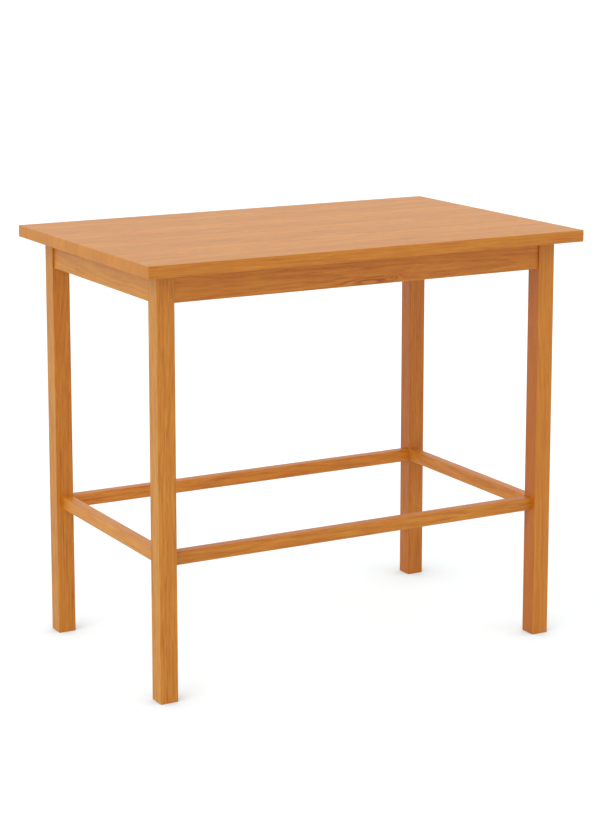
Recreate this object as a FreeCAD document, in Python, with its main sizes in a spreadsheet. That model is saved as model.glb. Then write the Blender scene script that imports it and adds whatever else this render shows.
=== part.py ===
"""Bar table of solid wood: an edge-glued top on a mortised frame with a foot rail all round.

Millimetres. +Z is up, +X runs along the long side, and the origin is on the floor under the
middle of the top. Everything below the top is the same at all four corners: a leg, an apron and
a stretcher are drawn once beside the front left leg and turned by quarter turns.
"""
import FreeCAD, Part
import os
import re
import Sketcher

os.makedirs("parts", exist_ok=True)
doc = FreeCAD.newDocument("bar_table")

SIZES = {
    "table_height": 1055.0,
    # top
    "top_length": 1200.0,
    "top_width": 770.0,
    "top_thick": 29.5,
    "top_round": 2.0,
    # legs, and how far the top reaches past them
    "leg_side": 46.0,
    "leg_round": 1.5,
    "foot_chamfer": 1.5,
    "overhang_end": 47.0,
    "overhang_side": 59.0,
    # aprons, with a haunched tenon at each end
    "apron_height": 71.0,
    "apron_thick": 20.0,
    "apron_inset": 5.0,
    "apron_round": 1.5,
    "apron_tenon_thick": 8.0,
    "apron_tenon_shoulder": 8.0,
    "haunch_height": 15.0,
    "haunch_length": 10.0,
    # stretchers, with a stub tenon at each end
    "stretcher_top": 360.0,
    "stretcher_height": 32.0,
    "stretcher_thick": 27.0,
    "stretcher_inset": 17.0,
    "stretcher_round": 2.0,
    "stretcher_tenon_thick": 10.0,
    "stretcher_tenon_shoulder": 6.0,
    # corner blocks inside the aprons
    "block_thick": 22.0,
    "block_height": 42.0,
    "block_drop": 20.0,
    "block_screw_length": 45.0,
    # wooden buttons that hold the top down and let it shrink and swell
    "groove_drop": 10.0,
    "groove_height": 9.0,
    "groove_depth": 9.0,
    "button_length": 30.0,
    "button_width": 28.0,
    "button_thick": 19.0,
    "button_gap": 1.5,
    "button_draw": 0.5,
    "tongue_length": 7.5,
    "tongue_thick": 8.0,
    "button_screw_length": 34.0,
    # wood screws with a flat washer head
    "screw_radius": 2.0,
    "screw_head_radius": 4.5,
    "screw_head_height": 1.8,
    # clearances
    "glue_gap": 0.1,
    "mitre_gap": 1.0,
    "screw_gap": 0.05,
    "overrun": 2.0,
}
# widths of the staves from front to back, as shares of the top's width
STAVE_SHARES = [0.075, 0.112, 0.104, 0.109, 0.113, 0.097, 0.108, 0.119, 0.096, 0.067]
# places of the buttons along a side, as shares of the distance between its legs' outer faces
LONG_SIDE_BUTTON_SHARES = [0.22, 0.50, 0.78]
SHORT_SIDE_BUTTON_SHARES = [0.50]
QUARTER_TURN = 90.0

sheet = doc.addObject("Spreadsheet::Sheet", "Sizes")
for row, (alias, value) in enumerate(SIZES.items(), start=1):
    sheet.set("A%d" % row, alias)
    sheet.set("B%d" % row, str(value))
    sheet.setAlias("B%d" % row, alias)
doc.recompute()

NODES = []


def size(words):
    """Turns names in a formula into the sheet's cells, for setExpression."""
    return re.sub("[a-z_]+", lambda found: cell(found.group()), words)


def cell(word):
    return "Sizes." + word if word in SIZES else word


def number(words):
    """The value of such a formula now, in millimetres."""
    answer = sheet.evalExpression(size(words))
    return float(getattr(answer, "Value", answer))


def bind(thing, prop, words):
    thing.setExpression(prop, size(words))


def new_body(label):
    body = doc.addObject("PartDesign::Body", label)
    body.Label = label
    return body


def sketch_of(body, name, role, loops, lift="0"):
    """Closed loops of straight edges; each corner is a pair of formulas bound to the sheet."""
    sketch = body.newObject("Sketcher::SketchObject", name)
    plane = next(f for f in body.Origin.OriginFeatures if f.Role == role)
    sketch.AttachmentSupport = [(plane, "")]
    sketch.MapMode = "FlatFace"
    bind(sketch, "AttachmentOffset.Base.z", lift)
    for corners in loops:
        first = sketch.GeometryCount
        spots = [FreeCAD.Vector(number(u), number(v), 0) for u, v in corners]
        for here, there in zip(spots, spots[1:] + spots[:1]):
            sketch.addGeometry(Part.LineSegment(here, there))
        for i, (u, v) in enumerate(corners):
            after = first + (i + 1) % len(corners)
            sketch.addConstraint(Sketcher.Constraint("Coincident", first + i, 2, after, 1))
            across = Sketcher.Constraint("DistanceX", -1, 1, first + i, 1, spots[i].x)
            bind(sketch, "Constraints[%d]" % sketch.addConstraint(across), u)
            along = Sketcher.Constraint("DistanceY", -1, 1, first + i, 1, spots[i].y)
            bind(sketch, "Constraints[%d]" % sketch.addConstraint(along), v)
    return sketch


def rectangle(low_x, low_y, high_x, high_y):
    return [(low_x, low_y), (high_x, low_y), (high_x, high_y), (low_x, high_y)]


def pad_up(body, name, loops, low, height):
    """Raises the loops, drawn in plan, from a height by a height."""
    pad = body.newObject("PartDesign::Pad", name)
    pad.Profile = sketch_of(body, name + "_plan", "XY_Plane", loops, low)
    bind(pad, "Length", height)
    doc.recompute()
    return pad


def check_cut(body, name, before):
    doc.recompute()
    if not body.Shape.Volume < before:
        raise RuntimeError("%s cuts nothing from %s" % (name, body.Label))


def cut_down(body, name, loops, high, depth):
    """Sinks the loops, drawn in plan, from a height downwards."""
    before = body.Shape.Volume
    pocket = body.newObject("PartDesign::Pocket", name)
    pocket.Profile = sketch_of(body, name + "_plan", "XY_Plane", loops, high)
    pocket.Reversed = False
    bind(pocket, "Length", depth)
    check_cut(body, name, before)
    return pocket


def drill(body, name, radius, length, place, turn):
    """A round hole that starts at a place and runs along Z turned by a rotation."""
    before = body.Shape.Volume
    hole = body.newObject("PartDesign::SubtractiveCylinder", name)
    hole.Placement = FreeCAD.Placement(FreeCAD.Vector(), turn)
    bind(hole, "Radius", radius)
    bind(hole, "Height", length)
    for axis, words in zip("xyz", place):
        bind(hole, "Placement.Base." + axis, words)
    check_cut(body, name, before)
    return hole


def edges_where(shape, test):
    return ["Edge%d" % i for i, edge in enumerate(shape.Edges, start=1) if test(edge)]


def runs_along(edge, axis):
    start, end = edge.Vertexes[0].Point, edge.Vertexes[-1].Point
    across = [i for i in range(3) if i != axis]
    return all(abs(start[i] - end[i]) < Part.Precision.confusion() for i in across)


def dress(body, kind, name, feature, names, prop, words):
    """A fillet or chamfer on some edges of a body's last feature."""
    dressing = body.newObject("PartDesign::" + kind, name)
    dressing.Base = (feature, names)
    bind(dressing, prop, words)
    doc.recompute()
    return dressing


# The four corners, as quarter turns of the front left one. A side starts at the corner whose
# number it has, and its own x runs from there to the next corner.
HALF_X = "( top_length / 2 - overhang_end )"
HALF_Y = "( top_width / 2 - overhang_side )"
SPAN_X = "( top_length - 2 * overhang_end )"
SPAN_Y = "( top_width - 2 * overhang_side )"
CORNERS = [
    ("front_left", "- " + HALF_X, "- " + HALF_Y),
    ("front_right", HALF_X, "- " + HALF_Y),
    ("back_right", HALF_X, HALF_Y),
    ("back_left", "- " + HALF_X, HALF_Y),
]
SIDES = [("front", SPAN_X), ("right", SPAN_Y), ("back", SPAN_X), ("left", SPAN_Y)]
COSINES = [1, 0, -1, 0]
SINES = [0, 1, 0, -1]
UP = FreeCAD.Vector(0, 0, 1)
FRAME_TOP = "( table_height - top_thick )"


def quarter(turns):
    return FreeCAD.Rotation(UP, turns * QUARTER_TURN)


def stand_at(thing, turns, x="0", y="0", z="0", tilt=None):
    """Puts a piece at a place in the frame of one corner, turned with it."""
    turn = quarter(turns)
    if tilt is not None:
        turn = turn.multiply(tilt)
    thing.Placement = FreeCAD.Placement(FreeCAD.Vector(), turn)
    _, corner_x, corner_y = CORNERS[turns]
    cosine, sine = COSINES[turns], SINES[turns]
    bind(thing, "Placement.Base.x", "%s + %d * ( %s ) - %d * ( %s )" % (corner_x, cosine, x, sine, y))
    bind(thing, "Placement.Base.y", "%s + %d * ( %s ) + %d * ( %s )" % (corner_y, sine, x, cosine, y))
    bind(thing, "Placement.Base.z", z)


# Both kinds of rail meet the legs with tenons whose ends are mitred against each other inside
# the leg. Distances run inwards from the leg's outer faces.
def tenon_faces(kind):
    near = "( %s_inset + ( %s_thick - %s_tenon_thick ) / 2 )" % (kind, kind, kind)
    far = "( %s_inset + ( %s_thick + %s_tenon_thick ) / 2 )" % (kind, kind, kind)
    return near, far


TENON_LEVELS = {
    "apron": ("( %s - apron_height + apron_tenon_shoulder )" % FRAME_TOP,
              "( apron_height - apron_tenon_shoulder - haunch_height )"),
    "stretcher": ("( stretcher_top - stretcher_height + stretcher_tenon_shoulder )",
                  "( stretcher_height - 2 * stretcher_tenon_shoulder )"),
}
RAIL_LOW = {
    "apron": "( %s - apron_height )" % FRAME_TOP,
    "stretcher": "( stretcher_top - stretcher_height )",
}


# A corner block crosses each inner corner of the aprons and just clears the leg's inner arris.
# One screw runs along the corner's diagonal, through the middle of the block into that arris.
SEAT = "( apron_inset + apron_thick )"
BLOCK_START = "( 2 * leg_side - apron_inset - apron_thick + glue_gap )"
BLOCK_END = "( %s + block_thick * sqrt(2) )" % BLOCK_START
BLOCK_FACE = "( ( %s + %s ) / 2 )" % (SEAT, BLOCK_END)
BLOCK_LOW = "( %s - block_drop - block_height )" % FRAME_TOP
BLOCK_SCREW_LEVEL = "( %s + block_height / 2 )" % BLOCK_LOW
TO_LEG = FreeCAD.Rotation(UP, FreeCAD.Vector(-1, -1, 0))


def make_leg(turns):
    """A square leg with an L-shaped mortise for two aprons and another for two stretchers."""
    corner = CORNERS[turns][0]
    body = new_body("leg_" + corner)
    blank = pad_up(body, "blank", [rectangle("0", "0", "leg_side", "leg_side")], "0", FRAME_TOP)
    upright = edges_where(blank.Shape, lambda edge: runs_along(edge, 2))
    dress(body, "Fillet", "arrises", blank, upright, "Radius", "leg_round")
    rounded = body.Tip
    sole = edges_where(rounded.Shape, lambda edge: edge.BoundBox.ZMax < SIZES["foot_chamfer"])
    dress(body, "Chamfer", "foot", rounded, sole, "Size", "foot_chamfer")
    for kind in ("apron", "stretcher"):
        near, far = tenon_faces(kind)
        low, high = near + " - glue_gap", far + " + glue_gap"
        outline = [
            (low, low), ("leg_side + overrun", low), ("leg_side + overrun", high),
            (high, high), (high, "leg_side + overrun"), (low, "leg_side + overrun"),
        ]
        base, rise = TENON_LEVELS[kind]
        cut_down(body, kind + "_mortise", [outline], "%s + %s + glue_gap" % (base, rise),
                 rise + " + 2 * glue_gap")
    near, far = tenon_faces("apron")
    low, high = near + " - glue_gap", far + " + glue_gap"
    depth = "leg_side - haunch_length - glue_gap"
    slots = [
        rectangle(depth, low, "leg_side + overrun", high),
        rectangle(low, depth, high, "leg_side + overrun"),
    ]
    cut_down(body, "haunch_slot", slots, FRAME_TOP + " + overrun",
             "haunch_height + overrun + glue_gap")
    outside = "leg_side + overrun"
    bite = "( %s - %s ) * sqrt(2) + block_screw_length + screw_gap" % (outside, BLOCK_FACE)
    drill(body, "block_screw_pilot", "screw_radius + screw_gap", bite,
          (outside, outside, BLOCK_SCREW_LEVEL), TO_LEG)
    stand_at(body, turns)
    NODES.append(body)


def tenon_plan(kind, span):
    """Both ends' tenons in plan: each runs to the mitre line that its neighbour also meets."""
    near, far = tenon_faces(kind)
    left = [
        ("leg_side + overrun", near), ("leg_side + overrun", far),
        (far + " + mitre_gap", far), (near + " + mitre_gap", near),
    ]
    right = [("%s - ( %s )" % (span, x), y) for x, y in left]
    return [left, right]


def make_rail(kind, turns):
    """An apron or a stretcher between two legs, shouldered all round its tenons."""
    side, span = SIDES[turns]
    body = new_body(kind + "_" + side)
    front, back = kind + "_inset", "%s_inset + %s_thick" % (kind, kind)
    far_shoulder = span + " - leg_side"
    plan = rectangle("leg_side", front, far_shoulder, back)
    bar = pad_up(body, "bar", [plan], RAIL_LOW[kind], kind + "_height")
    box = bar.Shape.BoundBox
    long_edges = edges_where(bar.Shape, lambda edge: runs_along(edge, 0))
    if kind == "apron":
        lower = edges_where(bar.Shape, lambda edge: edge.BoundBox.ZMax < box.Center.z)
        long_edges = [name for name in long_edges if name in lower]
    dress(body, "Fillet", "arrises", bar, long_edges, "Radius", kind + "_round")
    base, rise = TENON_LEVELS[kind]
    pad_up(body, "tenons", tenon_plan(kind, span), base, rise)
    if kind == "apron":
        near, far = tenon_faces(kind)
        stub = rectangle("leg_side - haunch_length", near, "leg_side + overrun", far)
        other = rectangle("%s - leg_side - overrun" % span, near,
                          "%s - leg_side + haunch_length" % span, far)
        pad_up(body, "haunches", [stub, other], FRAME_TOP + " - haunch_height", "haunch_height")
        groove = rectangle("leg_side - overrun", back + " - groove_depth",
                           far_shoulder + " + overrun", back + " + overrun")
        cut_down(body, "button_groove", [groove], FRAME_TOP + " - groove_drop", "groove_height")
    stand_at(body, turns)
    NODES.append(body)


def make_block(turns):
    body = new_body("corner_block_" + CORNERS[turns][0])
    plan = [(BLOCK_START, SEAT), (BLOCK_END, SEAT), (SEAT, BLOCK_END), (SEAT, BLOCK_START)]
    pad_up(body, "brace", [plan], BLOCK_LOW, "block_height")
    outside = BLOCK_FACE + " + overrun"
    drill(body, "shank", "screw_radius + screw_gap", "block_thick + 4 * overrun",
          (outside, outside, BLOCK_SCREW_LEVEL), TO_LEG)
    stand_at(body, turns)
    NODES.append(body)


def make_screw(label, length):
    """A screw along +Z whose head seats at the origin."""
    body = new_body(label)
    outline = [
        ("0", "- screw_head_height"), ("screw_head_radius", "- screw_head_height"),
        ("screw_head_radius", "0"), ("screw_radius", "0"), ("screw_radius", length), ("0", length),
    ]
    revolve = body.newObject("PartDesign::Revolution", "turned")
    profile = sketch_of(body, "half_profile", "XZ_Plane", [outline])
    revolve.Profile = profile
    revolve.ReferenceAxis = (profile, ["V_Axis"])
    doc.recompute()
    return body


def gather(label, bodies):
    group = doc.addObject("Part::Compound", label)
    group.Label = label
    group.Links = bodies
    doc.recompute()
    NODES.append(group)


def make_block_screws():
    screws = []
    for turns, (corner, _, _) in enumerate(CORNERS):
        screw = make_screw("block_screw_" + corner, "block_screw_length")
        stand_at(screw, turns, BLOCK_FACE, BLOCK_FACE, BLOCK_SCREW_LEVEL, TO_LEG)
        screws.append(screw)
    gather("corner_block_screws", screws)


def button_places():
    """Name, side and middle of each button along its side."""
    for turns, (side, span) in enumerate(SIDES):
        shares = LONG_SIDE_BUTTON_SHARES if span == SPAN_X else SHORT_SIDE_BUTTON_SHARES
        for number_along, share in enumerate(shares, start=1):
            yield "%s_%d" % (side, number_along), turns, "( %s * %s )" % (span, share)


BUTTON_TOP = "( %s - button_draw )" % FRAME_TOP
BUTTON_FRONT = "( %s + button_gap )" % SEAT
BUTTON_SCREW_Y = "( %s + button_length / 2 )" % BUTTON_FRONT


def make_button(name, turns, middle):
    """A block with a tongue that bears up under the groove's top wall."""
    body = new_body("button_" + name)
    block = rectangle("0", BUTTON_FRONT, "button_width", BUTTON_FRONT + " + button_length")
    pad_up(body, "block", [block], BUTTON_TOP + " - button_thick", "button_thick")
    tongue = rectangle("0", "%s - tongue_length" % SEAT, "button_width", BUTTON_FRONT + " + overrun")
    tongue_low = "%s - groove_drop - tongue_thick" % FRAME_TOP
    pad_up(body, "tongue", [tongue], tongue_low, "tongue_thick")
    below = BUTTON_TOP + " - button_thick - overrun"
    drill(body, "shank", "screw_radius + screw_gap", "button_thick + 2 * overrun",
          ("button_width / 2", BUTTON_SCREW_Y, below), FreeCAD.Rotation())
    stand_at(body, turns, middle + " - button_width / 2")
    NODES.append(body)


def make_button_screws():
    screws = []
    for name, turns, middle in button_places():
        screw = make_screw("button_screw_" + name, "button_screw_length")
        stand_at(screw, turns, middle, BUTTON_SCREW_Y, BUTTON_TOP + " - button_thick")
        screws.append(screw)
    gather("button_screws", screws)


def make_top():
    """The panel is glued up, rounded and drilled as one, and each stave is its strip of it."""
    panel = new_body("panel")
    pad_up(panel, "slab", [rectangle("0", "0", "top_length", "top_width")], "0", "top_thick")
    slab = panel.Tip
    every = ["Edge%d" % i for i in range(1, len(slab.Shape.Edges) + 1)]
    dress(panel, "Fillet", "rounded", slab, every, "Radius", "top_round")
    bite = "( button_screw_length - button_thick - button_draw + screw_gap )"
    for name, turns, middle in button_places():
        _, corner_x, corner_y = CORNERS[turns]
        cosine, sine = COSINES[turns], SINES[turns]
        x = "%s + %d * ( %s ) - %d * %s + top_length / 2" % (corner_x, cosine, middle, sine, BUTTON_SCREW_Y)
        y = "%s + %d * ( %s ) + %d * %s + top_width / 2" % (corner_y, sine, middle, cosine, BUTTON_SCREW_Y)
        drill(panel, "pilot_" + name, "screw_radius + screw_gap", bite + " + overrun",
              (x, y, "- overrun"), FreeCAD.Rotation())
    bind(panel, "Placement.Base.x", "- top_length / 2")
    bind(panel, "Placement.Base.y", "- top_width / 2")
    bind(panel, "Placement.Base.z", FRAME_TOP)
    doc.recompute()
    done = 0.0
    for count, share in enumerate(STAVE_SHARES, start=1):
        strip = doc.addObject("Part::Box", "strip_%02d" % count)
        bind(strip, "Length", "top_length + 2 * overrun")
        bind(strip, "Width", "top_width * %s" % share)
        bind(strip, "Height", "top_thick + 2 * overrun")
        bind(strip, "Placement.Base.x", "- top_length / 2 - overrun")
        bind(strip, "Placement.Base.y", "top_width * ( %.3f - 0.5 )" % done)
        bind(strip, "Placement.Base.z", "%s - overrun" % FRAME_TOP)
        stave = doc.addObject("Part::Common", "top_stave_%02d" % count)
        stave.Label = "top_stave_%02d" % count
        stave.Base = panel
        stave.Tool = strip
        NODES.append(stave)
        done += share


make_top()
for turns in range(len(CORNERS)):
    make_leg(turns)
for kind in ("apron", "stretcher"):
    for turns in range(len(SIDES)):
        make_rail(kind, turns)
for turns in range(len(CORNERS)):
    make_block(turns)
for name, turns, middle in button_places():
    make_button(name, turns, middle)
make_block_screws()
make_button_screws()
doc.recompute()

for thing in doc.Objects:
    if "Invalid" in thing.State or "Error" in thing.State:
        raise RuntimeError("%s failed: %s" % (thing.Name, thing.State))
for node in NODES:
    if node.Shape.isNull() or not node.Shape.isValid():
        raise RuntimeError("%s has no valid shape" % node.Label)
for node in NODES:
    node.Shape.exportStep("parts/%s.step" % node.Label)
print("wrote %d nodes" % len(NODES))
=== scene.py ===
import math
import bpy
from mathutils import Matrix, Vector


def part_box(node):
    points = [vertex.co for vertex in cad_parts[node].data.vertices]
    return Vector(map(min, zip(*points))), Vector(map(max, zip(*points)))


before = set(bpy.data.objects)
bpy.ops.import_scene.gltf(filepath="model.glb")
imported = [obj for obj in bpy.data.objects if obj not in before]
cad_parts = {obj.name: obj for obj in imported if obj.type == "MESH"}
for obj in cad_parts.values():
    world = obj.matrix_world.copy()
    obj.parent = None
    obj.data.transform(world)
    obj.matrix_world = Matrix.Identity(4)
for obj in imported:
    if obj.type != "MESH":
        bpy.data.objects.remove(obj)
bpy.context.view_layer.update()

# A bar table of stained pine under satin lacquer, in a white studio. Metres; wood patterns in mm.

scene = bpy.context.scene
scene.view_settings.view_transform = "Standard"
mmPerMetre = 1000
asItIs = (1, 1, 1)      # a tone that changes nothing


def linearFromHex(hexColour):
    # an sRGB colour as linear light
    channels = [int(hexColour[i:i + 2], 16) / 255 for i in (1, 3, 5)]
    return [c / 12.92 if c <= 0.04045 else ((c + 0.055) / 1.055) ** 2.4 for c in channels] + [1.0]


def addNode(tree, kind, inputs=None, **settings):
    # one node with its settings; an input is a value, a socket, or a node whose first output is meant
    node = tree.nodes.new(kind)
    for key, value in settings.items():
        setattr(node, key, value)
    for key, value in (inputs or {}).items():
        if isinstance(value, bpy.types.Node):
            value = value.outputs[0]
        if isinstance(value, bpy.types.NodeSocket):
            tree.links.new(value, node.inputs[key])
        else:
            node.inputs[key].default_value = value
    return node


def newMaterial(name):
    material = bpy.data.materials.new(name)
    material.use_nodes = True
    material.node_tree.nodes.clear()
    return material, material.node_tree


# Camera: the photograph's frame is 600 by 822 pixels
view = {
    "place": (-2.6982, -4.8504, 1.8425),
    "yaw": 29.112,      # degrees from +Y towards +X
    "pitch": 9.625,     # degrees down
    "focal": 2226.9,    # in pixels of the frame
    "frameLong": 822.0,
    "sensor": 36.0,
    "shiftDown": 0.15,  # as a share of the frame's long side
    "clipEnd": 200.0,
}


def makeCamera():
    data = bpy.data.cameras.new("camera")
    data.sensor_width = view["sensor"]
    data.lens = view["focal"] / view["frameLong"] * view["sensor"]
    data.shift_y = -view["shiftDown"]
    data.clip_end = view["clipEnd"]
    camera = bpy.data.objects.new("camera", data)
    scene.collection.objects.link(camera)
    yaw, pitch = math.radians(view["yaw"]), math.radians(view["pitch"])
    look = Vector((math.sin(yaw) * math.cos(pitch), math.cos(yaw) * math.cos(pitch), -math.sin(pitch)))
    camera.location = view["place"]
    camera.rotation_mode = "QUATERNION"
    camera.rotation_quaternion = look.to_track_quat("-Z", "Y")
    scene.camera = camera


makeCamera()
print("camera placed")

# Studio: a white tent with a broad soft key from the upper left
studio = {
    "tent": 0.76,            # light of the tent
    "tentSeen": 1.0,         # the tent as it is seen and mirrored
    "key": 0.92,             # watts per square metre
    "keyFrom": (-0.68, -0.30, 0.67),
    "keyAngle": 50.0,        # degrees across, which softens its shadows
    "floorHalf": 70.0,
    "floorGlow": 0.64,       # the floor's own white, dimmed only close to the feet
    "floorShare": 0.60,      # how much the light on it adds
    "floorColour": "#EDF3F6",
    "glowColour": "#FAFFFF",
    "contactReach": 0.17,    # how far from a foot its contact shadow is seen
    "contactDepth": 0.9,     # and how dark it gets, as a power
    "contactSamples": 8,
}


def seenDirectly(tree):
    # 1 for rays that see the background as such: straight, mirrored or through glass
    path = addNode(tree, "ShaderNodeLightPath")
    either = addNode(tree, "ShaderNodeMath", {0: path.outputs["Is Camera Ray"],
                     1: path.outputs["Is Glossy Ray"]}, operation="MAXIMUM")
    return addNode(tree, "ShaderNodeMath", {0: either, 1: path.outputs["Is Transmission Ray"]},
                   operation="MAXIMUM")


def makeStudio():
    world = bpy.data.worlds.new("tent")
    world.use_nodes = True
    scene.world = world
    tree = world.node_tree
    tree.nodes.clear()
    seen = seenDirectly(tree)
    strength = addNode(tree, "ShaderNodeMapRange", {0: seen, 3: studio["tent"], 4: studio["tentSeen"]})
    white = addNode(tree, "ShaderNodeBackground", {"Color": (1, 1, 1, 1), "Strength": strength})
    addNode(tree, "ShaderNodeOutputWorld", {"Surface": white})

    lamp = bpy.data.lights.new("key", "SUN")
    lamp.energy = studio["key"]
    lamp.angle = math.radians(studio["keyAngle"])
    key = bpy.data.objects.new("key", lamp)
    key.rotation_mode = "QUATERNION"
    key.rotation_quaternion = (-Vector(studio["keyFrom"])).to_track_quat("-Z", "Y")
    scene.collection.objects.link(key)


def makeFloor():
    half = studio["floorHalf"]
    corners = [(-half, -half, 0), (half, -half, 0), (half, half, 0), (-half, half, 0)]
    mesh = bpy.data.meshes.new("studioFloor")
    mesh.from_pydata(corners, [], [(0, 1, 2, 3)])
    floor = bpy.data.objects.new("studioFloor", mesh)
    scene.collection.objects.link(floor)
    material, tree = newMaterial("paintedStudioFloor")  # white matt paint, as a seamless sweep
    seen = addNode(tree, "ShaderNodeLightPath").outputs["Is Camera Ray"]
    lit = addNode(tree, "ShaderNodeMapRange", {0: seen, 3: 1.0, 4: studio["floorShare"]})
    paint = addNode(tree, "ShaderNodeMixRGB", {"Fac": lit, "Color1": (0, 0, 0, 1),
                    "Color2": linearFromHex(studio["floorColour"])})
    matt = addNode(tree, "ShaderNodeBsdfDiffuse", {"Color": paint})
    clear = addNode(tree, "ShaderNodeAmbientOcclusion", {"Distance": studio["contactReach"]},
                    samples=studio["contactSamples"])
    contact = addNode(tree, "ShaderNodeMath", {0: clear.outputs["AO"], 1: studio["contactDepth"]},
                      operation="POWER")
    glowLevel = addNode(tree, "ShaderNodeMath", {0: seen, 1: studio["floorGlow"]}, operation="MULTIPLY")
    glowLevel = addNode(tree, "ShaderNodeMath", {0: glowLevel, 1: contact}, operation="MULTIPLY")
    glow = addNode(tree, "ShaderNodeEmission", {"Color": linearFromHex(studio["glowColour"]),
                   "Strength": glowLevel})
    both = addNode(tree, "ShaderNodeAddShader", {0: matt, 1: glow})
    side = addNode(tree, "ShaderNodeNewGeometry").outputs["Backfacing"]   # open to a view from below
    through = addNode(tree, "ShaderNodeBsdfTransparent")
    oneSided = addNode(tree, "ShaderNodeMixShader", {0: side, 1: both, 2: through})
    addNode(tree, "ShaderNodeOutputMaterial", {"Surface": oneSided})
    mesh.materials.append(material)


makeStudio()
makeFloor()
print("studio lit")

# Stained pine: pale earlywood and narrow darker latewood, planed along the grain, rubbed with a
# honey-brown stain that evens it out, under a thin satin lacquer. Rings, lines and fibres are drawn
# wider than real, to show. Waves are a length and a width in mm, with the noise's detail and roughness.
pine = {
    "light": "#E29938",
    "middle": "#CE7D18",
    "dark": "#A85505",
    "ringSpacing": 6.0,
    "ringWander": 13.0,              # slow bend of the rings along the board
    "wanderWaves": (450, 70, 2, 0.5),
    "ringWaver": 1.2,                # their small unevenness
    "waverWaves": (85, 8, 2, 0.5),
    "taper": 0.014,                  # the log's taper, which makes the pointed arches
    "rings": 0.18,                   # how much each layer darkens the wood, from 0 to 1
    "ringRise": (0.20, 0.80),        # where in a year's layer the wood turns dark
    "ringFall": (1.0, 0.84),         # and where it turns pale, as shares of the layer
    "ringMean": 0.25,                # taken off, so that layers don't darken the whole board
    "yearShare": (0.3, 1.0),         # how dark the palest and the darkest years are
    "streaks": 0.40,
    "streakWaves": (120, 8, 3, 0.6),
    "lines": 0.68,
    "lineWaves": (65, 3.8, 2, 0.7),
    "fibres": 0.45,
    "fibreWaves": (24, 1.9, 3, 0.5),  # bundles of fibres: single ones are far too fine to show
    "clouds": 0.28,
    "cloudWaves": (170, 26, 2, 0.5),
    "threads": 0.15,                 # thin dark lines, as of resin canals, drawn about 3 mm wide
    "threadWaves": (110, 5.5, 1, 0.5),
    "threadStart": (0.09, 0.16),     # the part of the noise that makes a line
    "blush": 0.014,                  # how far the hue swings, in turns of the colour circle
    "blushWaves": (110, 12, 2, 0.5),
    "knotRings": 4.0,                # how much darker the layers' dark parts are round a knot
    "knotCore": "#7A4016",
    "knotSolid": 0.3,                # the share of its core that is wholly dark
    "endCalm": 0.65,                 # how much evener the stain lies on a sawn end, which soaks it up
    "endSoak": 0.06,                 # and how much darker
    "ior": 1.48,
    "roughness": (0.38, 0.48),
    "fibreSwing": 0.2,               # how far the fibres' noise swings about its middle
    "fibreRelief": 0.7,              # the fibres' share of the relief under the lacquer
    "lateRelief": 0.5,               # and the latewood's, which lies lower
    "bumpDepth": 0.0002,
    "bumpStrength": 0.3,
}

# long even streaks, as on wide boards planed and sanded together
topPine = dict(pine, streaks=0.60, streakWaves=(230, 12, 3, 0.6), lines=0.52,
               lineWaves=(100, 6.5, 2, 0.7), threads=0.06, rings=0.13, clouds=0.24)

# quieter wood, for some pieces of the frame, and wood without stain or lacquer
calmPine = dict(pine, lines=0.36, streaks=0.28, threads=0.06, fibres=0.27)
barePine = dict(pine, light="#E3C08C", middle="#D6AD74", dark="#B98A50", roughness=(0.6, 0.75))


def shaded(hexColour, tone):
    return [c * t for c, t in zip(linearFromHex(hexColour), tone)] + [1.0]


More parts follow.
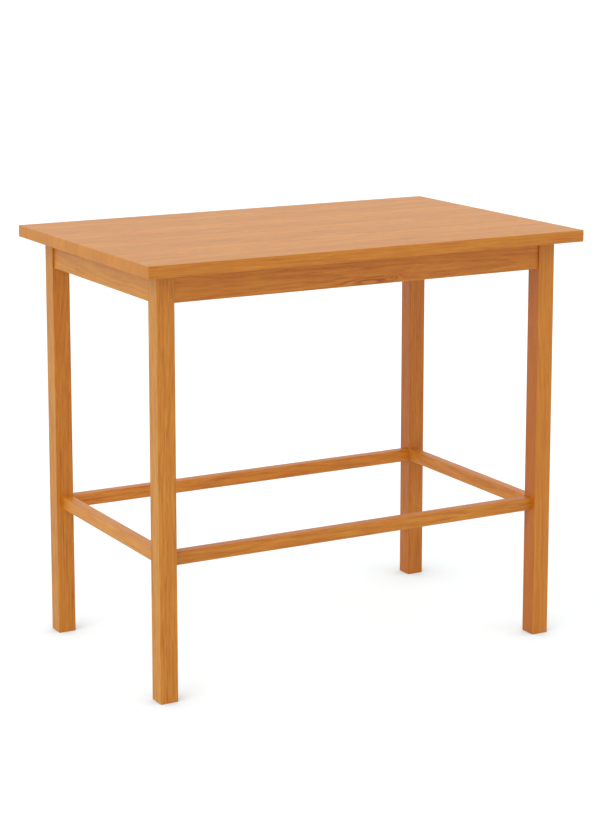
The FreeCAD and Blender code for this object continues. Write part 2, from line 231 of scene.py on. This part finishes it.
def pineMaterial(name, grain, pith, shift, look=pine, tone=asItIs, sideLightTone=asItIs, knots=(), seams=None):
    # grain: the row axes that run along, across and through the board
    # pith: the log's middle, across and through, in mm; shift: the board's place in the noise
    # seams: where glue lines run across the board, from and to
    # the side tone is painted light on the faces across the grain: a sheen on some pieces and shade on
    # others
    material, tree = newMaterial(name)
    centre = 0.5        # of a noise, of the ramp and of an unchanged hue

    def combined(operation, first, second):
        return addNode(tree, "ShaderNodeMath", {0: first, 1: second}, operation=operation)

    coordinates = addNode(tree, "ShaderNodeTexCoord")
    inMm = addNode(tree, "ShaderNodeMapping", {"Vector": coordinates.outputs["Object"],
                   "Scale": (mmPerMetre, mmPerMetre, mmPerMetre)})
    apart = addNode(tree, "ShaderNodeSeparateXYZ", {0: inMm})
    board = addNode(tree, "ShaderNodeCombineXYZ", {i: apart.outputs[axis] for i, axis in enumerate(grain)})
    moved = addNode(tree, "ShaderNodeVectorMath", {0: board, 1: shift}, operation="ADD")

    def noise(key):
        # swings about 0, at most by half each way
        length, width, detail, roughness = look[key]
        scaled = addNode(tree, "ShaderNodeVectorMath", {0: moved, 1: (1 / length, 1 / width, 1 / width)},
                         operation="MULTIPLY")
        waves = addNode(tree, "ShaderNodeTexNoise", {"Vector": scaled, "Scale": 1.0, "Detail": detail,
                        "Roughness": roughness})
        return combined("SUBTRACT", waves, centre)

    # year rings: the distance from the pith, bent and tapered
    section = addNode(tree, "ShaderNodeVectorMath", {0: board, 1: (0, 1, 1)}, operation="MULTIPLY")
    fromPith = addNode(tree, "ShaderNodeVectorMath", {0: section, 1: (0, *pith)}, operation="SUBTRACT")
    radius = addNode(tree, "ShaderNodeVectorMath", {0: fromPith}, operation="LENGTH").outputs["Value"]
    inBoard = addNode(tree, "ShaderNodeSeparateXYZ", {0: board}).outputs
    radius = combined("ADD", radius, combined("MULTIPLY", noise("wanderWaves"), 2 * look["ringWander"]))
    radius = combined("ADD", radius, combined("MULTIPLY", noise("waverWaves"), 2 * look["ringWaver"]))
    radius = combined("ADD", radius, combined("MULTIPLY", inBoard[0], look["taper"]))

    # a knot pushes the rings aside under a soft bell, and has a dark core
    knotDark, resin = None, None
    for knot in knots:
        offset = addNode(tree, "ShaderNodeVectorMath", {0: board, 1: knot["at"]}, operation="SUBTRACT")
        squashed = addNode(tree, "ShaderNodeVectorMath", {0: offset, 1: knot["shape"]},
                           operation="MULTIPLY")
        away = addNode(tree, "ShaderNodeVectorMath", {0: squashed}, operation="LENGTH").outputs["Value"]
        spread = combined("DIVIDE", away, knot["reach"])
        pull = combined("POWER", math.exp(-1), combined("MULTIPLY", spread, spread))
        radius = combined("ADD", radius, combined("MULTIPLY", pull, knot["push"]))
        core = addNode(tree, "ShaderNodeMapRange", {0: away, 1: knot["core"],
                       2: look["knotSolid"] * knot["core"]})
        knotDark = core if knotDark is None else combined("MAXIMUM", knotDark, core)
        resin = pull if resin is None else combined("MAXIMUM", resin, pull)

    turns = combined("DIVIDE", radius, look["ringSpacing"])
    phase = addNode(tree, "ShaderNodeMath", {0: turns}, operation="FRACT")
    rise, fall = (addNode(tree, "ShaderNodeMapRange", {0: phase, 1: look[key][0], 2: look[key][1]},
                          interpolation_type="SMOOTHSTEP") for key in ("ringRise", "ringFall"))
    year = addNode(tree, "ShaderNodeMath", {0: turns}, operation="FLOOR")
    harvest = addNode(tree, "ShaderNodeTexWhiteNoise", {"W": year}, noise_dimensions="1D")
    palest, darkest = look["yearShare"]
    yearDark = addNode(tree, "ShaderNodeMapRange", {0: harvest, 3: palest, 4: darkest})
    late = combined("MULTIPLY", combined("MULTIPLY", rise, fall), yearDark)

    # shade: how much darker the wood is than its middle colour, in shares of the ramp
    shade = combined("MULTIPLY", combined("SUBTRACT", late, look["ringMean"]), look["rings"])
    if resin is not None:
        darker = combined("MULTIPLY", combined("MULTIPLY", late, resin), look["rings"] * look["knotRings"])
        shade = combined("ADD", shade, darker)
    fibre = noise("fibreWaves")
    start, full = look["threadStart"]
    threads = addNode(tree, "ShaderNodeMapRange", {0: noise("threadWaves"), 1: start, 2: full})
    layers = {"streaks": noise("streakWaves"), "lines": noise("lineWaves"), "fibres": fibre,
              "clouds": noise("cloudWaves"), "threads": threads}
    for share, layer in layers.items():
        shade = combined("ADD", shade, combined("MULTIPLY", layer, look[share]))
    facing = addNode(tree, "ShaderNodeSeparateXYZ", {0: coordinates.outputs["Normal"]}).outputs
    onEnd = addNode(tree, "ShaderNodeMath", {0: facing[grain[0]]}, operation="ABSOLUTE")
    sideLightFacing = addNode(tree, "ShaderNodeMath", {0: facing[grain[1]]}, operation="ABSOLUTE")
    kept = addNode(tree, "ShaderNodeMapRange", {0: onEnd, 3: 1.0, 4: 1 - look["endCalm"]})
    soak = combined("MULTIPLY", onEnd, look["endSoak"])
    shade = combined("ADD", combined("MULTIPLY", shade, kept), soak)
    if seams is not None:
        low, high = seams
        aside = combined("SUBTRACT", inBoard[1], (low + high) / 2)
        fromMiddle = addNode(tree, "ShaderNodeMath", {0: aside}, operation="ABSOLUTE")
        inside = combined("SUBTRACT", (high - low) / 2, fromMiddle)
        line = addNode(tree, "ShaderNodeMapRange", {0: inside, 2: staves["seamWidth"],
                       3: staves["seamDark"], 4: 0.0})
        shade = combined("ADD", shade, line)

    ramp = addNode(tree, "ShaderNodeValToRGB", {"Fac": combined("ADD", shade, centre)})
    ramp.color_ramp.elements[0].color = shaded(look["light"], tone)
    ramp.color_ramp.elements[1].color = shaded(look["dark"], tone)
    ramp.color_ramp.elements.new(centre).color = shaded(look["middle"], tone)
    hue = combined("ADD", combined("MULTIPLY", noise("blushWaves"), look["blush"]), centre)
    colour = addNode(tree, "ShaderNodeHueSaturation", {"Color": ramp, "Hue": hue})
    # the faces across the grain take their painted sheen and painted shade
    colour = addNode(tree, "ShaderNodeMixRGB", {"Fac": sideLightFacing, "Color1": colour,
                     "Color2": (*sideLightTone, 1)}, blend_type="MULTIPLY")
    if knotDark is not None:
        colour = addNode(tree, "ShaderNodeMixRGB", {"Fac": knotDark, "Color1": colour,
                         "Color2": linearFromHex(look["knotCore"])})

    smooth, rough = look["roughness"]
    gloss = addNode(tree, "ShaderNodeMapRange", {0: fibre, 1: -look["fibreSwing"], 2: look["fibreSwing"],
                    3: smooth, 4: rough})
    height = combined("SUBTRACT", combined("MULTIPLY", fibre, look["fibreRelief"]),
                      combined("MULTIPLY", late, look["lateRelief"]))
    bump = addNode(tree, "ShaderNodeBump", {"Height": height, "Strength": look["bumpStrength"],
                   "Distance": look["bumpDepth"]})
    wood = addNode(tree, "ShaderNodeBsdfPrincipled", {"Base Color": colour, "Roughness": gloss,
                   "IOR": look["ior"], "Normal": bump})
    addNode(tree, "ShaderNodeOutputMaterial", {"Surface": wood})
    return material


flatAlongX = (0, 1, 2)
edgeAlongX = (0, 2, 1)
alongY = (1, 2, 0)
alongZ = (2, 0, 1)


def dressNode(name, material):
    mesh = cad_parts[name].data
    mesh.materials.clear()
    mesh.materials.append(material)


def middleOf(name):
    low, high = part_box(name)
    return (low + high) / 2 * mmPerMetre


def placeInNoise(wood, i):
    # pieces of one kind lie far apart in the noise, in mm, so that no two are alike
    return tuple(first + i * step for first, step in zip(wood["first"], wood["step"]))


# How the stain took on single pieces, as red, green and blue shares, with painted light: the raised blue
# shares, and the green raised with them, are a painted whitish sheen of the bright tent, and the back
# right leg's darker, redder shares are painted shade under the top
pieceStainAndPaintedLight = {
    "leg_front_left": (1.01, 1.04, 1.15),
    "leg_back_right": (0.97, 0.90, 0.80),
    "apron_left": (1.13, 1.30, 2.00),
    "apron_front": (1.04, 1.01, 1.00),
    "stretcher_left": (1.06, 1.22, 2.20),
    "stretcher_right": (1.13, 1.21, 1.90),
    "stretcher_back": (1.14, 1.14, 1.50),
}

# Painted light on the faces across the grain: a paler, bluer painted sheen on the left legs' side faces,
# which turn to the light from the left; painted shade on the right legs' side faces, whose inner ones lie
# under the top; and on the front stave's edge a darker share that takes the top's painted sheen back off
# it
sidePaintedLight = {
    "top_stave_01": (0.965, 0.875, 0.90),
    "leg_front_left": (1.00, 1.14, 1.35),
    "leg_back_left": (0.97, 1.11, 1.25),
    "leg_back_right": (0.95, 0.89, 0.60),
    "leg_front_right": (0.87, 0.74, 0.50),
}

# Top: ten staves glued edge to edge, from the front to the back
staves = {
    "tones": [0.97, 1.00, 1.05, 0.97, 1.03, 0.96, 1.04, 0.97, 1.01, 0.98],
    "paintedTopSheen": (1.05, 1.14, 1.0),    # painted sheen: the top is drawn paler and yellower than the frame, as the light on its face makes it look
    "pithDepth": [38, 60, 24, 75, 33, 52, 90, 28, 64, 41],    # mm above or below the stave's middle
    "pithAside": [6, -14, 10, 22, -8, 4, -20, 12, -5, 9],     # mm behind it
    "first": (0, 0, 0),
    "step": (911, 37, 53),
    "seamWidth": 1.6,       # the glue line's dark edge on each side in mm, drawn wider than real
    "seamDark": 0.30,
    "seamAway": 10,         # puts a seam out of sight, past the top's own front and back edge
}


def dressTop():
    last = len(staves["tones"]) - 1
    for i, tone in enumerate(staves["tones"]):
        name = "top_stave_%02d" % (i + 1)
        middle = middleOf(name)
        heart = 1 if i % 2 else -1       # glued up with the heart side turned by turns
        pith = (middle.y + staves["pithAside"][i], middle.z + heart * staves["pithDepth"][i])
        low, high = (corner.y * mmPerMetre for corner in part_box(name))
        low -= staves["seamAway"] if i == 0 else 0
        high += staves["seamAway"] if i == last else 0
        # each stave's own tone, times the top's painted sheen
        dressNode(name, pineMaterial("stainedPineTop%02d" % (i + 1), flatAlongX, pith,
                                     placeInNoise(staves, i), topPine,
                                     [tone * sheenShare for sheenShare in staves["paintedTopSheen"]],
                                     sidePaintedLight.get(name, asItIs), seams=(low, high)))


# Frame: the pith lies outside each leg and behind each apron and stretcher
legs = {
    # mm from the leg's middle to the right and to the back
    "pithFrom": {"leg_front_left": (34, 22), "leg_front_right": (-29, 30),
                 "leg_back_right": (40, -26), "leg_back_left": (31, 19)},
    "first": (0, 71, 0),
    "step": (1300, 0, 13),
}
rails = {
    "apron": {"pithDepth": 26, "first": (0, 116, 0), "step": (1700, 0, 17)},
    "stretcher": {"pithDepth": 32, "first": (0, 122, 0), "step": (1700, 0, 17)},
}
railSides = {"front": -9, "right": 7, "back": -9, "left": 7}    # mm from the middle up to the pith
quietPieces = ("apron_left", "stretcher_left", "stretcher_right", "leg_front_right")

# knots, in mm: on the front apron a small one that has grown over, with a pointed figure of layers
# beside it, and on the left apron a pin knot; a small share in shape draws it out that way, along,
# across or through the board
pieceKnots = {
    "apron_front": [
        {"at": (12, 963, -321), "shape": (0.14, 1.0, 0.5), "reach": 9.0, "push": 11.0, "core": 0.5},
        {"at": (78, 967, -321), "shape": (0.30, 1.0, 0.5), "reach": 6.0, "push": 8.0, "core": 1.6},
    ],
    "apron_left": [
        {"at": (137, 970, -548), "shape": (0.50, 1.0, 0.5), "reach": 5.0, "push": 4.0, "core": 1.2},
    ],
}


def lookOf(name):
    return calmPine if name in quietPieces else pine


def dressFrame():
    # the pieces' tones carry painted sheen and painted shade besides the stain
    for i, (name, (across, through)) in enumerate(legs["pithFrom"].items()):
        middle = middleOf(name)
        dressNode(name, pineMaterial("stainedPineLeg%d" % (i + 1), alongZ,
                                     (middle.x + across, middle.y + through), placeInNoise(legs, i),
                                     lookOf(name), pieceStainAndPaintedLight.get(name, asItIs), sidePaintedLight[name]))
    for kind, wood in rails.items():
        for i, (side, pithUp) in enumerate(railSides.items()):
            name = kind + "_" + side
            middle = middleOf(name)
            if side in ("front", "back"):
                grain, depth = edgeAlongX, middle.y + wood["pithDepth"]
            else:
                grain, depth = alongY, middle.x + wood["pithDepth"]
            dressNode(name, pineMaterial("stainedPine" + kind.capitalize() + side.capitalize(), grain,
                                         (middle.z + pithUp, depth), placeInNoise(wood, i),
                                         lookOf(name), pieceStainAndPaintedLight.get(name, asItIs),
                                         knots=pieceKnots.get(name, ())))


# Inside: corner blocks and buttons of bare planed pine
inner = {
    "pithFrom": (-20, 15),      # mm up and back from the piece's middle
    "first": (0, 9, 0),
    "step": (400, 0, 31),
}


def dressInner():
    names = sorted(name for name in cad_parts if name.startswith(("button_", "corner_block_")))
    up, back = inner["pithFrom"]
    for i, name in enumerate(names):
        if not name.endswith("screws"):
            middle = middleOf(name)
            dressNode(name, pineMaterial("barePine%02d" % (i + 1), edgeAlongX,
                                         (middle.z + up, middle.y + back), placeInNoise(inner, i),
                                         barePine))


# Screws: yellow passivated zinc on steel, a little uneven in hue and gloss
zinc = {
    "colours": ("#C9B26A", "#B9A88A"),
    "patches": 900.0,       # to a metre
    "patchDetail": 2.0,
    "roughness": (0.25, 0.42),
}


def dressScrews():
    material, tree = newMaterial("zincPlatedSteel")
    place = addNode(tree, "ShaderNodeTexCoord").outputs["Object"]
    patches = addNode(tree, "ShaderNodeTexNoise", {"Vector": place, "Scale": zinc["patches"],
                      "Detail": zinc["patchDetail"]})
    yellow, grey = zinc["colours"]
    colour = addNode(tree, "ShaderNodeMixRGB", {"Fac": patches, "Color1": linearFromHex(yellow),
                     "Color2": linearFromHex(grey)})
    smooth, dull = zinc["roughness"]
    rough = addNode(tree, "ShaderNodeMapRange", {0: patches, 3: smooth, 4: dull})
    steel = addNode(tree, "ShaderNodeBsdfPrincipled", {"Base Color": colour, "Metallic": 1.0,
                    "Roughness": rough})
    addNode(tree, "ShaderNodeOutputMaterial", {"Surface": steel})
    for name in ("button_screws", "corner_block_screws"):
        dressNode(name, material)


dressTop()
print("top stained and lacquered")
dressFrame()
print("frame stained and lacquered")
dressInner()
dressScrews()
print("blocks, buttons and screws dressed")
